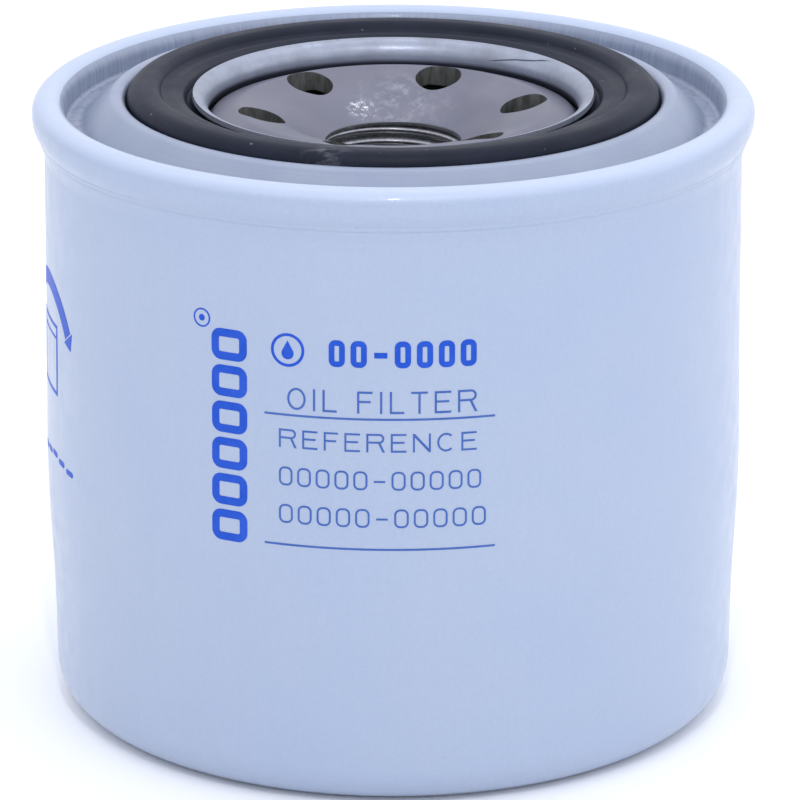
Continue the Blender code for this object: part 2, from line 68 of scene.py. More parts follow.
LAND_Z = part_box("sealing_gasket")[1].z
RIM_TOP = LAND_Z - BEAD_RISE
NECK_RADIUS = 24.3 * MM
RIM_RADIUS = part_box("seaming_lid")[1].x
GASKET_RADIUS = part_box("sealing_gasket")[1].x
GASKET_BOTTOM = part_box("sealing_gasket")[0].z
PLATE_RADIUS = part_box("tapping_plate")[1].x
HUB_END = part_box("tapping_plate")[0].z

CAN_SHEET = 0.55 * MM
LID_SHEET = 0.6 * MM
GAP = 0.32 * MM
SHARP_ANGLE = radians(32)
ON_AXIS = 1e-7
FINE_SIDES = 256  # facets round the shell's pieces
INNER_SIDES = 144  # facets round the element's pieces

# Double seam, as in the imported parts: seaming wall, body hook, cover hook, can wall, chuck wall
SEAMING_WALL = RIM_RADIUS - LID_SHEET / 2
SEAM_LEAN = 0.08 * MM
BODY_HOOK = SEAMING_WALL - LID_SHEET / 2 - GAP - SEAM_LEAN - CAN_SHEET / 2
COVER_HOOK = BODY_HOOK - CAN_SHEET / 2 - GAP - LID_SHEET / 2
SEAMED_WALL = COVER_HOOK - LID_SHEET / 2 - GAP - CAN_SHEET / 2
CHUCK_WALL = SEAMED_WALL - CAN_SHEET / 2 - GAP - LID_SHEET / 2
SEAM_FOOT_Z = RIM_TOP - 4.62 * MM  # centre of the turn under the body hook
SEAM_FOOT_BEND = 0.535 * MM
LEANING_WALL = ((46.0, -4.15), (46.27, -3.5), (46.41, -2.9))  # radius, height from the crest, in mm
HOOK_BEND_Z = RIM_TOP - 2.1 * MM
BODY_HOOK_END = RIM_TOP - 3.5 * MM
PRINT_RADIUS = 45.5 * MM  # can's outside where it is printed


# ---- outlines in the (radius, z) plane

def metres(corners, zero=0.0):
    """Corners (r, z) or (r, z, fillet) from millimetres, with their heights counted from a level."""
    return [(radius * MM, zero + height * MM, *(fillet * MM for fillet in fillets))
            for radius, height, *fillets in corners]


def arc(center, radius, start, end, steps):
    """Points on a circle, angles in degrees, both ends included."""
    points = []
    for step in range(steps + 1):
        angle = radians(start + (end - start) * step / steps)
        points.append((center[0] + radius * cos(angle), center[1] + radius * sin(angle)))
    return points


def rounded(corners, steps=8):
    """An open run of (r, z) or (r, z, fillet) corners, with each fillet as an arc of chords."""
    points = []
    for index, corner in enumerate(corners):
        here = Vector(corner[:2])
        fillet = corner[2] if len(corner) > 2 else 0.0
        if not fillet or index in (0, len(corners) - 1):
            points.append(tuple(here))
            continue
        to_last = (Vector(corners[index - 1][:2]) - here).normalized()
        to_next = (Vector(corners[index + 1][:2]) - here).normalized()
        half = to_last.angle(to_next) / 2
        center = here + (to_last + to_next).normalized() * fillet / sin(half)
        first = here + to_last * fillet / tan(half) - center
        turn = first.angle_signed(here + to_next * fillet / tan(half) - center)
        for step in range(steps + 1):
            spoke = Matrix.Rotation(-turn * step / steps, 2) @ first
            points.append(tuple(center + spoke))
    return points


def flowing(points, steps=6):
    """A smooth curve through the points (Catmull-Rom)."""
    known = [Vector(p) for p in points]
    known = [2 * known[0] - known[1]] + known + [2 * known[-1] - known[-2]]
    curve = []
    for before, start, end, after in zip(known, known[1:], known[2:], known[3:]):
        for step in range(steps):
            t = step / steps
            curve.append(tuple(0.5 * (2 * start + (end - before) * t
                                      + (2 * before - 5 * start + 4 * end - after) * t ** 2
                                      + (3 * start - before - 3 * end + after) * t ** 3)))
    curve.append(tuple(known[-2]))
    return curve


def offset(path, distance, closed=False):
    """The path moved sideways by a distance to its left, with mitred corners."""
    count = len(path)
    moved = []
    for index, point in enumerate(path):
        here = Vector(point)
        directions = []
        if closed or index > 0:
            directions.append((here - Vector(path[index - 1])).normalized())
        if closed or index < count - 1:
            directions.append((Vector(path[(index + 1) % count]) - here).normalized())
        normals = [Vector((-d.y, d.x)) for d in directions]
        mitre = (normals[0] + normals[-1]).normalized()
        moved.append(tuple(here + mitre * distance / mitre.dot(normals[0])))
    return moved


def sheet(path, thickness):
    """The closed outline of a sheet of one thickness whose middle follows the path."""
    return offset(path, thickness / 2) + offset(path, -thickness / 2)[::-1]


# ---- meshes

def link(thing):
    bpy.context.scene.collection.objects.link(thing)


def finish_piece(name, work, material, body, node=None):
    """Turn a bmesh into a smooth-shaded piece that rides on a body, and stands for a CAD node."""
    bmesh.ops.recalc_face_normals(work, faces=work.faces)
    mesh = bpy.data.meshes.new(name)
    work.to_mesh(mesh)
    work.free()
    mesh.shade_smooth()
    mesh.set_sharp_from_angle(angle=SHARP_ANGLE)
    mesh.materials.append(material)
    piece = bpy.data.objects.new(name, mesh)
    link(piece)
    if body:
        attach(piece, body)
    if node:
        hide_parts(node)
    return piece


def lathe_mesh(outline, sides, low_z=0.0):
    """A bmesh turned about Z from a closed (r, z) outline; points on the axis become poles."""
    work = bmesh.new()
    rings = []
    angles = [2 * pi * side / sides for side in range(sides)]
    for radius, height in outline:
        if radius < ON_AXIS:
            rings.append([work.verts.new((0, 0, height + low_z))])
            continue
        rings.append([work.verts.new((radius * cos(a), radius * sin(a), height + low_z))
                      for a in angles])
    for ring, following in zip(rings, rings[1:] + rings[:1]):
        for side in range(sides):
            after = (side + 1) % sides
            corners = [ring[side % len(ring)], ring[after % len(ring)],
                       following[after % len(following)], following[side % len(following)]]
            unique = list(dict.fromkeys(corners))
            if len(unique) > 2:
                work.faces.new(unique)
    return work


def lathe(name, outline, material, body, node=None, sides=INNER_SIDES, low_z=0.0):
    """A turned piece."""
    return finish_piece(name, lathe_mesh(outline, sides, low_z), material, body, node)


def subtract(target, work):
    """Cut the closed bmesh out of the target and keep the result as the target's own mesh."""
    bmesh.ops.recalc_face_normals(work, faces=work.faces)
    mesh = bpy.data.meshes.new("cutter")
    work.to_mesh(mesh)
    work.free()
    tool = bpy.data.objects.new("cutter", mesh)
    link(tool)
    modifier = target.modifiers.new("cut", "BOOLEAN")
    modifier.operation = "DIFFERENCE"
    modifier.solver = "EXACT"
    modifier.object = tool
    bake_modifiers(target)
    bpy.data.objects.remove(tool)


def bake_modifiers(target):
    """Replace the target's mesh by what its modifiers make of it."""
    bpy.context.view_layer.update()
    graph = bpy.context.evaluated_depsgraph_get()
    made = bpy.data.meshes.new_from_object(target.evaluated_get(graph), depsgraph=graph)
    target.modifiers.clear()
    target.data = made
    made.shade_smooth()
    made.set_sharp_from_angle(angle=SHARP_ANGLE)


def join_rings(work, ring, following):
    """Faces between two closed rings of as many corners."""
    for side in range(len(ring)):
        after = (side + 1) % len(ring)
        work.faces.new((ring[side], ring[after], following[after], following[side]))


def tube_along(rings_of_points):
    """A closed bmesh skinned over a run of rings with equal point counts, capped at both ends."""
    work = bmesh.new()
    rings = [[work.verts.new(point) for point in ring] for ring in rings_of_points]
    for ring, following in zip(rings, rings[1:]):
        join_rings(work, ring, following)
    work.faces.new(rings[0])
    work.faces.new(rings[-1])
    return work


def drill(target, radius, depth, sides, places):
    """Cut round holes, each at a place given as a matrix with its Z along the hole."""
    holes = bmesh.new()
    for place in places:
        bmesh.ops.create_cone(holes, cap_ends=True, segments=sides, radius1=radius, radius2=radius,
                              depth=depth, matrix=place)
    subtract(target, holes)


# ---- material helpers

def new_material(name, color, roughness, metallic=0.0, coat=0.0, coat_roughness=0.1, specular=0.5):
    """A Principled material with its constant values on the shader's own sockets."""
    made = bpy.data.materials.new(name)
    made.use_nodes = True
    inputs = made.node_tree.nodes["Principled BSDF"].inputs
    values = {"Base Color": (*color, 1.0), "Roughness": roughness, "Metallic": metallic,
              "Coat Weight": coat, "Coat Roughness": coat_roughness, "Specular IOR Level": specular}
    for socket_name, value in values.items():
        inputs[socket_name].default_value = value
    made.diffuse_color = (*color, 1.0)
    return made


def feed(material, socket_name, value):
    shader = material.node_tree.nodes["Principled BSDF"]
    material.node_tree.links.new(value, shader.inputs[socket_name])


def add(owner, kind, inputs=None, **settings):
    """A node with some settings, and with input values or links given by socket name or number.
    The owner is a material or the world."""
    node = owner.node_tree.nodes.new(kind)
    for key, value in settings.items():
        setattr(node, key, value)
    for key, value in (inputs or {}).items():
        if isinstance(value, bpy.types.NodeSocket):
            owner.node_tree.links.new(value, node.inputs[key])
        else:
            node.inputs[key].default_value = value
    return node


def vector(owner, operation, first, second=(0, 0, 0), result="Vector"):
    return add(owner, "ShaderNodeVectorMath", {0: first, 1: second}, operation=operation).outputs[result]


def number(owner, operation, first, second=0.0, third=0.0):
    return add(owner, "ShaderNodeMath", {0: first, 1: second, 2: third}, operation=operation).outputs[0]


def product(owner, first, second):
    return number(owner, "MULTIPLY", first, second)


def here(material, scale=None):
    """The point being shaded, in the row frame, times a scale where one is given."""
    where = add(material, "ShaderNodeTexCoord").outputs["Object"]
    return vector(material, "MULTIPLY", where, scale) if scale else where


def from_axis(material):
    """The point's level direction from the axis, its distance from the axis, and its height."""
    parts = add(material, "ShaderNodeSeparateXYZ", {0: here(material)}).outputs
    level = add(material, "ShaderNodeCombineXYZ", {0: parts[0], 1: parts[1]}).outputs[0]
    return vector(material, "NORMALIZE", level), vector(material, "LENGTH", level, result="Value"), parts[2]


def facing_up(material):
    """The upward part of the surface's normal."""
    normal = add(material, "ShaderNodeNewGeometry").outputs["Normal"]
    return add(material, "ShaderNodeSeparateXYZ", {0: normal}).outputs[2]


def noise(material, scale, detail=2.0, roughness=0.5, where=None):
    """Grey noise from 0 to 1, at the point being shaded unless a place is given."""
    inputs = {"Vector": where or here(material), "Scale": scale, "Detail": detail, "Roughness": roughness}
    return add(material, "ShaderNodeTexNoise", inputs).outputs["Fac"]


def round_noise(material, scales, detail, roughness=0.5):
    """Seamless grain that runs along or round the axis. Its place is the direction from the axis
    times the first scale, with radius and height, times their own scales, added to the third part."""
    round_scale, radius_scale, height_scale = scales
    direction, radius, height = from_axis(material)
    wide = vector(material, "MULTIPLY", direction, (round_scale,) * 3)
    up = number(material, "MULTIPLY_ADD", height, height_scale, product(material, radius, radius_scale))
    lifted = add(material, "ShaderNodeCombineXYZ", {2: up}).outputs[0]
    return noise(material, 1.0, detail, roughness, vector(material, "ADD", wide, lifted))


def spread(material, value, low, high, to_low=0.0, to_high=1.0, smooth=False):
    """A value moved from one range to another, and held at its ends."""
    kind = "SMOOTHSTEP" if smooth else "LINEAR"
    return add(material, "ShaderNodeMapRange",
               {"Value": value, "From Min": low, "From Max": high, "To Min": to_low, "To Max": to_high},
               interpolation_type=kind).outputs["Result"]


def spot(material, center, reach):
    """1 at a point, falling to 0 at a distance from it."""
    away = vector(material, "DISTANCE", here(material), center, "Value")
    return spread(material, away, reach, 0.0, smooth=True)


def color(material, base, *layers):
    """Feed the base colour from a first colour and the layers over it, each an amount and a colour."""
    below = (*base, 1.0)
    for amount, shade in layers:
        # of a colour mix, inputs 0, 6 and 7 are the amount and the two colours, output 2 the result
        below = add(material, "ShaderNodeMix", {0: amount, 6: below, 7: (*shade, 1.0)},
                    data_type="RGBA").outputs[2]
    feed(material, "Base Color", below)


def roughen(material, value, least, most):
    """Feed the roughness from a noise."""
    feed(material, "Roughness", spread(material, value, 0.3, 0.7, least, most))


def relief(material, *layers):
    """Feed the normal from height fields on top of each other, each with its depth in millimetres."""
    below = None
    for height, depth in layers:
        inputs = {"Height": height, "Distance": depth * MM, "Strength": 1.0}
        if below:
            inputs["Normal"] = below
        below = add(material, "ShaderNodeBump", inputs).outputs["Normal"]
    feed(material, "Normal", below)


def two_tone(material, field, low, high, first, second, depth):
    """Finish a material whose colour and relief follow one field."""
    color(material, first, (spread(material, field, low, high), second))
    relief(material, (field, depth))
    return material


# ---- materials of the shell

PAINT = (0.360, 0.431, 0.583)
PAINT_WARM = (0.375, 0.444, 0.580)
SCRATCH_FADE = 1.5 * MM  # over which a scratch starts and ends


def painted(name, ripple=0.0):
    """Bluish-white enamel on drawn steel: faint mottling, orange peel and up-and-down draw lines.
    Ripple adds the fine cross-wrinkles that the seaming roller leaves on the crest and the
    glossier coat there, with a painted highlight: the upward-facing side is painted lighter."""
    coat, coat_roughness = (0.30, 0.07) if ripple else (0.22, 0.16)
    made = new_material(name, PAINT, 0.34, coat=coat, coat_roughness=coat_roughness)
    streaks = round_noise(made, (55, 0, 9), 3)
    layers = [(spread(made, noise(made, 55, 3), 0.3, 0.7), PAINT_WARM),
              (spread(made, streaks, 0.35, 0.75, 0.0, 0.10), (0.325, 0.395, 0.560)),
              (spread(made, noise(made, 2100, 2, 0.6), 0.35, 0.65, 0.0, 0.16), (0.27, 0.33, 0.46)),
              (spread(made, noise(made, 1500), 0.70, 0.80, 0.0, 0.35), (0.28, 0.31, 0.41))]
    heights = [(noise(made, 780), 0.012), (streaks, 0.02)]
    if ripple:
        # painted highlight: surfaces facing up are lighter, standing in for the light falling from above on
        # the crest
        layers.append((spread(made, facing_up(made), 0.2, 0.9, smooth=True), (0.46, 0.53, 0.69)))
        heights.append((round_noise(made, (130, 900, 420), 3, 0.65), ripple))
    color(made, PAINT, *layers)
    roughen(made, noise(made, 320, 3), 0.28, 0.42)
    relief(made, *heights)
    return made


def pressed_paint():
    """The same enamel inside the lid, thinner: draw scratches on the steep walls, scuffs on the floor."""
    made = new_material("lid_paint", (0.28, 0.33, 0.44), 0.42, metallic=0.15, coat=0.12)
    steep = spread(made, facing_up(made), 0.75, 0.25)
    low = spread(made, from_axis(made)[2], RIM_TOP - 2.6 * MM, RIM_TOP - 3.9 * MM)
    scratch = round_noise(made, (120, 0, 45), 4, 0.7)
    scored = product(made, spread(made, scratch, 0.42, 0.62), steep)
    scuffed = product(made, spread(made, round_noise(made, (30, 900, 900), 4, 0.7), 0.50, 0.66), low)
    circles = round_noise(made, (2.2, 5200, 0), 2, 0.6)
    color(made, (0.270, 0.315, 0.430),
          (spread(made, noise(made, 120, 4), 0.35, 0.65), (0.300, 0.340, 0.445)),
          (spread(made, circles, 0.4, 0.75, 0.0, 0.18), (0.21, 0.245, 0.33)),
          (product(made, scored, 0.42), (0.14, 0.165, 0.215)),
          (product(made, scuffed, 0.6), (0.135, 0.15, 0.20)))
    roughen(made, scratch, 0.34, 0.52)
    relief(made, (scratch, 0.015), (noise(made, 900), 0.008))
    return made


def neck_metal():
    """Tinplate of the neck and the curled lip: satin, with grime and dark nicks towards the edge, and painted
    shade that darkens the neck's lower end where it turns under towards the plate.
    """
    made = new_material("neck_tinplate", (0.33, 0.36, 0.44), 0.34, metallic=0.6)
    _, radius, height = from_axis(made)
    clouds = noise(made, 210, 4, 0.6)
    stains = round_noise(made, (16, 0, 500), 4, 0.7)
    grime = spread(made, round_noise(made, (70, 0, 300), 4, 0.7), 0.60, 0.70)
    nicks = product(made, grime, spread(made, radius, 25.3 * MM, 26.25 * MM))
    color(made, (0.350, 0.385, 0.480),
          (spread(made, clouds, 0.35, 0.7), (0.270, 0.290, 0.350)),
          (spread(made, stains, 0.62, 0.74, 0.0, 0.35), (0.21, 0.22, 0.26)),
          (product(made, nicks, 0.75), (0.10, 0.10, 0.13)),
          (scratch_mark(made, (25.1, -1.45), (14.6, 0.12), 0.11), (0.05, 0.055, 0.085)),
          # painted shade: the neck goes dark below about 2 mm under the crest, in place of the shadow in the
          # recess over the plate
          (spread(made, height, RIM_TOP - 2.0 * MM, RIM_TOP - 2.75 * MM, smooth=True), (0.055, 0.06, 0.085)))
    roughen(made, clouds, 0.30, 0.46)
    relief(made, (noise(made, 1300, 3, 0.6), 0.022), (round_noise(made, (120, 0, 90), 3), 0.010))
    return made


def scratch_mark(material, start, end, width):
    """1 on a slightly ragged scratch between two points given, in millimetres like its width, by the
    way round at the neck's radius (counted from the X axis) and the height above the seam's crest."""
    parts = add(material, "ShaderNodeSeparateXYZ", {0: here(material)}).outputs
    around = product(material, number(material, "ARCTAN2", parts[1], parts[0]), NECK_RADIUS)
    height = number(material, "SUBTRACT", parts[2], RIM_TOP)
    level = add(material, "ShaderNodeCombineXYZ", {0: around, 1: height}).outputs[0]
    first = Vector((*start, 0)) * MM
    along = Vector((*end, 0)) * MM - first
    unit = along.normalized()
    moved = vector(material, "SUBTRACT", level, tuple(first))
    run = vector(material, "DOT_PRODUCT", moved, tuple(unit), "Value")
    side = vector(material, "DOT_PRODUCT", moved, (-unit.y, unit.x, 0), "Value")
    wobble = spread(material, noise(material, 260), 0.3, 0.7, -0.08 * MM, 0.08 * MM)
    off = number(material, "ABSOLUTE", number(material, "ADD", side, wobble))
    near = spread(material, off, width * MM, width * MM * 0.4)
    started = spread(material, run, 0.0, SCRATCH_FADE)
    not_ended = spread(material, run, along.length, along.length - SCRATCH_FADE)
    return product(material, near, product(material, started, not_ended))


def gasket_rubber():
    """Moulded nitrile: satin black with a fine grain, specks of dust and a pale bloom on the bead."""
    made = new_material("gasket_nitrile", (0.012, 0.013, 0.019), 0.44, specular=0.15)
    clouds = noise(made, 160, 4, 0.6)
    specks = spread(made, noise(made, 1100), 0.73, 0.80)
    smeared = spread(made, noise(made, 700, 3, where=here(made, (0.6, 1.6, 1))), 0.45, 0.62)
    smear = product(made, spot(made, (-8.4 * MM, -33.4 * MM, LAND_Z), 4.2 * MM), smeared)
    color(made, (0.008, 0.011, 0.022),
          (spread(made, clouds, 0.35, 0.7), (0.015, 0.019, 0.035)),
          (product(made, specks, 0.35), (0.30, 0.32, 0.36)),
          (product(made, smear, 0.30), (0.35, 0.36, 0.40)))
    roughen(made, clouds, 0.40, 0.56)
    relief(made, (clouds, 0.05), (noise(made, 1900), 0.010))
    return made


def plate_steel():
    """Phosphated stamping steel: grey with a violet cast, faintly brushed, worn bright by the hub; the
    near-white worn patch left of the hub is partly a painted highlight.
    """
    made = new_material("plate_phosphated", (0.22, 0.22, 0.28), 0.42, metallic=0.55)
    brushed = round_noise(made, (130, 260, 0), 3, 0.65)
    # a worn bare patch whose near-white colour is also a painted highlight, a glint
    worn_patch_and_glint = product(made, spot(made, (-4.1 * MM, 10.0 * MM, RIM_TOP - 5.0 * MM), 2.6 * MM),
                     spread(made, noise(made, 1100, 4, 0.75), 0.50, 0.58))
    by_hub = product(made, spot(made, (1.5 * MM, 12.0 * MM, RIM_TOP - 4.4 * MM), 9.0 * MM),
                     spread(made, noise(made, 620, 4, 0.7), 0.48, 0.66))
    bright = number(made, "MAXIMUM", worn_patch_and_glint, product(made, by_hub, 0.16))
    color(made, (0.150, 0.154, 0.205),
          (spread(made, noise(made, 130, 4, 0.6), 0.35, 0.68), (0.182, 0.182, 0.228)),
          (spread(made, brushed, 0.45, 0.75, 0.0, 0.10), (0.26, 0.26, 0.32)),
          (bright, (0.88, 0.89, 0.96)))
    feed(made, "Roughness", spread(made, bright, 0.0, 1.0, 0.42, 0.16))
    relief(made, (noise(made, 1300, 3), 0.010), (brushed, 0.006))
    return made


def punched_steel():
    """Torn wall of a punched hole: dark, coarse and glinting."""
    made = new_material("punched_wall", (0.18, 0.185, 0.175), 0.36, metallic=0.7)
    torn = noise(made, 1100, 3, 0.6, here(made, (1, 1, 0.25)))
    return two_tone(made, torn, 0.35, 0.70, (0.13, 0.135, 0.125), (0.30, 0.305, 0.30), 0.03)


def thread_steel(name):
    """Cut thread with a film of oil."""
    made = new_material(name, (0.34, 0.35, 0.38), 0.30, metallic=0.95)
    turned = round_noise(made, (20, 0, 5200), 2)
    return two_tone(made, turned, 0.35, 0.7, (0.27, 0.275, 0.29), (0.44, 0.45, 0.48), 0.006)


def print_ink(name, thick, thin):
    """Screen-printed blue ink, uneven in thickness between two colours."""
    made = new_material(name, thick, 0.42, specular=0.2)
    color(made, thick, (spread(made, noise(made, 420, 4, 0.6), 0.35, 0.7), thin))
    relief(made, (noise(made, 900), 0.006))
    return made


# ---- materials of the inside

def black_nitrile(name):
    """Plain moulded rubber of the valve and the washer."""
    made = new_material(name, (0.030, 0.029, 0.027), 0.5)
    grain = noise(made, 900, 3)
    return two_tone(made, grain, 0.3, 0.7, (0.022, 0.021, 0.020), (0.05, 0.048, 0.044), 0.02)


def strip_steel(name, shade, roughness=0.3):
    """Pressed steel strip with rolling lines, light scratches and a few dull spots."""
    made = new_material(name, shade, roughness, metallic=0.9)
    dull = noise(made, 240, 4, 0.65)
    color(made, shade, (spread(made, dull, 0.4, 0.7), tuple(0.72 * part for part in shade)))
    roughen(made, dull, roughness - 0.06, roughness + 0.14)
    relief(made, (noise(made, 1.0, 3, where=here(made, (60, 2600, 2600))), 0.006))
    return made


def filter_paper():
    """Resin-treated cellulose paper: warm, fibrous, darker where the resin is thick."""
    made = new_material("pleated_paper", (0.74, 0.60, 0.30), 0.85)
    fibres = noise(made, 1900, 5, 0.7, here(made, (1, 1, 0.35)))
    color(made, (0.74, 0.60, 0.30),
          (spread(made, noise(made, 180, 3), 0.35, 0.65), (0.64, 0.49, 0.23)),
          (spread(made, fibres, 0.35, 0.75, 0.0, 0.5), (0.84, 0.74, 0.48)))
    relief(made, (fibres, 0.05))
    return made


def plastisol():
    """Cured red adhesive with small bubbles."""
    made = new_material("plastisol_red", (0.48, 0.06, 0.04), 0.38)
    bubbles = add(made, "ShaderNodeTexVoronoi", {"Vector": here(made), "Scale": 520}).outputs["Distance"]
    color(made, (0.48, 0.06, 0.04), (spread(made, noise(made, 260, 3), 0.3, 0.7), (0.36, 0.04, 0.03)))
    relief(made, (spread(made, bubbles, 0.0, 0.35), 0.03))
    return made


def lining_compound():
    """Grey sealing compound."""
    made = new_material("compound_grey", (0.25, 0.26, 0.27), 0.6)
    return two_tone(made, noise(made, 1200, 3), 0.3, 0.7, (0.22, 0.23, 0.24), (0.31, 0.32, 0.33), 0.03)


# ---- the shell

CAN_WALL = ((45.20, 73.0), (45.26, 66.0), (45.30, 58.0), (45.37, 50.0), (45.52, 41.0), (45.60, 33.5),
            (45.43, 26.5), (45.17, 21.0), (44.97, 16.5), (44.86, 12.0))  # outside radius and height, in mm
CAN_FOOT = ((44.45, 0, 4.93), (29.5, 0, 0.8), (28.1, 1.1, 0.8), (0, 1.1))
SHOULDER_GAP = 0.12 * MM
# paint that has run into the foot of the seam: outside from the seam down, then back up inside
SEAM_RUN = ((45.98, -4.75), (45.97, -5.0), (45.84, -5.28), (45.68, -5.44), (45.63, -5.8), (45.5, -6.2),
            (45.38, -6.6), (45.27, -7.1), (45.2, -7.6), (45.1, -7.6), (45.1, -6.2), (45.4, -5.5),
            (45.8, -4.75))  # radius and height from the crest, in mm


def build_can():
    """The drawn can, slightly barrelled, with its shoulder close under the seam."""
    half = CAN_SHEET / 2
    shoulder_z = SEAM_FOOT_Z - SEAM_FOOT_BEND - LID_SHEET / 2 - SHOULDER_GAP - half
    arch = arc(((BODY_HOOK + SEAMED_WALL) / 2, HOOK_BEND_Z), (BODY_HOOK - SEAMED_WALL) / 2, 0, 180, 16)
    top_radius = CAN_WALL[0][0] * MM - half
    shoulder = rounded([arch[-1], (SEAMED_WALL, shoulder_z, 0.42 * MM), (top_radius, shoulder_z, 0.36 * MM),
                        (top_radius, CAN_WALL[0][1] * MM)])[1:]
    wall = flowing([(radius * MM - half, height * MM) for radius, height in CAN_WALL])
    foot = rounded(wall[-1:] + metres(CAN_FOOT, half), steps=14)
    path = [(BODY_HOOK, BODY_HOOK_END)] + arch + shoulder[:-1] + wall + foot[1:]
    lathe("can_body", sheet(path, CAN_SHEET), painted("can_enamel"), "shell", "canister",
          FINE_SIDES)


def build_lid():
    """The stamped lid: seam, channel, shoulder, gasket groove, neck and curled lip."""
    foot = arc((COVER_HOOK + SEAM_FOOT_BEND, SEAM_FOOT_Z), SEAM_FOOT_BEND, 180, 330, 18)
    crown = (SEAMING_WALL - CHUCK_WALL) / 2
    crest = arc(((SEAMING_WALL + CHUCK_WALL) / 2, RIM_TOP - LID_SHEET / 2 - crown), crown, 0, 180, 28)
    side = flowing([foot[-1], *metres(LEANING_WALL, RIM_TOP), crest[0]])[1:-1]
    groove = GASKET_BOTTOM - GAP - LID_SHEET / 2
    curl = 1.9 * MM
    lip = arc((NECK_RADIUS + curl, RIM_TOP - curl), curl, 180, 97, 16)
    pressed = rounded([
        crest[-1], (CHUCK_WALL, RIM_TOP - 4.2 * MM, 0.9 * MM),
        *metres(((40.3, -4.2, 1.4), (36.3, -0.4, 1.1), (35.0, -0.4, 0.6)), RIM_TOP),
        (35.0 * MM, groove, 0.6 * MM), (NECK_RADIUS, groove, 2.2 * MM), lip[0]])
    path = [(COVER_HOOK, HOOK_BEND_Z - 0.62 * MM)] + foot + side + crest + pressed[1:-1] + lip
    piece = lathe("lid_pressing", sheet(path, LID_SHEET), painted("seam_enamel", 0.05), "shell",
                  "seaming_lid", FINE_SIDES)
    settle_lip(piece)
    piece.data.materials.append(pressed_paint())
    piece.data.materials.append(neck_metal())
    channel, neck = 1, 2  # the places of these two materials
    for face in piece.data.polygons:
        radius = face.center.xy.length
        if radius < 30.0 * MM:
            face.material_index = neck
        elif radius < CHUCK_WALL or (radius < CHUCK_WALL + 0.35 * MM and face.normal.z < 0.94):
            face.material_index = channel


def settle_lip(lid):
    """Tip the lip out of true: half a millimetre low at the front, true at the back."""
    outside, foot, height = 26.6 * MM, RIM_TOP - 2.8 * MM, 2.0 * MM
    sunk, tipped = 0.21 * MM, 0.29 / 26
    for vert in lid.data.vertices:
        if vert.co.xy.length < outside:
            share = min(max((vert.co.z - foot) / height, 0.0), 1.0)
            vert.co.z += share * (tipped * vert.co.y - sunk)


def build_seam_run():
    """The run of paint that fills the crease between the seam's foot and the can."""
    outline = metres(SEAM_RUN, RIM_TOP)
    lathe("seam_paint_run", flowing(outline[:9], 4) + outline[9:], painted("run_enamel"), "shell", None,
          FINE_SIDES)


def build_gasket():
    """The moulded gasket: rounded bead, flat flange, and the part tucked under the lip."""
    outline = rounded([
        (GASKET_RADIUS - 2 * MM, GASKET_BOTTOM), (GASKET_RADIUS, GASKET_BOTTOM, 0.4 * MM),
        (GASKET_RADIUS, LAND_Z, 1.9 * MM), (30.4 * MM, LAND_Z, 1.5 * MM),
        *metres(((30.0, 0.2, 0.55), (28.4, 0.2, 1.0), (27.2, -0.25, 0.4), (26.7, -1.0, 0.2),
                 (26.1, -1.35), (25.5, -1.6), (24.95, -2.3)), RIM_TOP),
        (24.95 * MM, GASKET_BOTTOM, 1.75 * MM), (GASKET_RADIUS - 3 * MM, GASKET_BOTTOM)])
    lathe("gasket_ring", outline, gasket_rubber(), "shell", "sealing_gasket", FINE_SIDES)


PLATE_FLANGE = RIM_TOP - 4.9 * MM
PLATE_SHEET = 2.4 * MM
INLET_COUNT = 6
INLET_RADIUS = 3.05 * MM
INLET_CIRCLE = 17.2 * MM
INLET_START = radians(9.7)
THREAD_MAJOR = 9.525 * MM
THREAD_MINOR = 8.73 * MM
THREAD_PITCH = 25.4 / 16 * MM
HUB_MOUTH = RIM_TOP - 6.55 * MM
THREAD_CREST_Z = RIM_TOP - 7.75 * MM


def build_plate():
    """The tapping plate: flange, crowned ring with six punched inlets, dished hub with its thread."""
    underside = PLATE_FLANGE - PLATE_SHEET
    top = rounded([
        (PLATE_RADIUS, PLATE_FLANGE), (25.3 * MM, PLATE_FLANGE, 1.4 * MM),
        *metres(((23.45, -2.95, 0.6), (19.9, -1.75, 2.5), (14.8, -3.15, 7.0)), RIM_TOP),
        *metres(((8.78, 0, 0.22), (8.78, -0.5, 0.1), (9.525, -0.62)), HUB_MOUTH)], steps=12)
    bottom = rounded([
        (THREAD_MAJOR, HUB_END + 0.5 * MM), (THREAD_MAJOR + 0.5 * MM, HUB_END),
        (11.5 * MM, HUB_END, 0.4 * MM),
        *metres(((11.5, -7.75, 1.2), (15.4, -5.45, 6.0), (19.4, -4.25, 1.5), (23.0, -5.4, 1.0)), RIM_TOP),
        (25.2 * MM, underside, 1.5 * MM), (PLATE_RADIUS, underside)], steps=10)
    plate = lathe("hub_plate", top + bottom, plate_steel(), "shell", "tapping_plate", 192)
    angles = [INLET_START + 2 * pi * index / INLET_COUNT for index in range(INLET_COUNT)]
    drill(plate, INLET_RADIUS, 12 * MM, 64, [
        Matrix.Translation((INLET_CIRCLE * cos(a), INLET_CIRCLE * sin(a), PLATE_FLANGE))
        for a in angles])
    plate.data.materials.append(punched_steel())
    plate.data.materials.append(thread_steel("bore_oiled"))
    punched, bore = 1, 2  # the places of these two materials
    for face in plate.data.polygons:
        radius = face.center.xy.length
        if abs(face.normal.z) < 0.05 and 13.5 * MM < radius < 21 * MM:
            face.material_index = punched
        elif radius < THREAD_MAJOR + 0.02 * MM and face.center.z < HUB_MOUTH - 0.05 * MM:
            face.material_index = bore


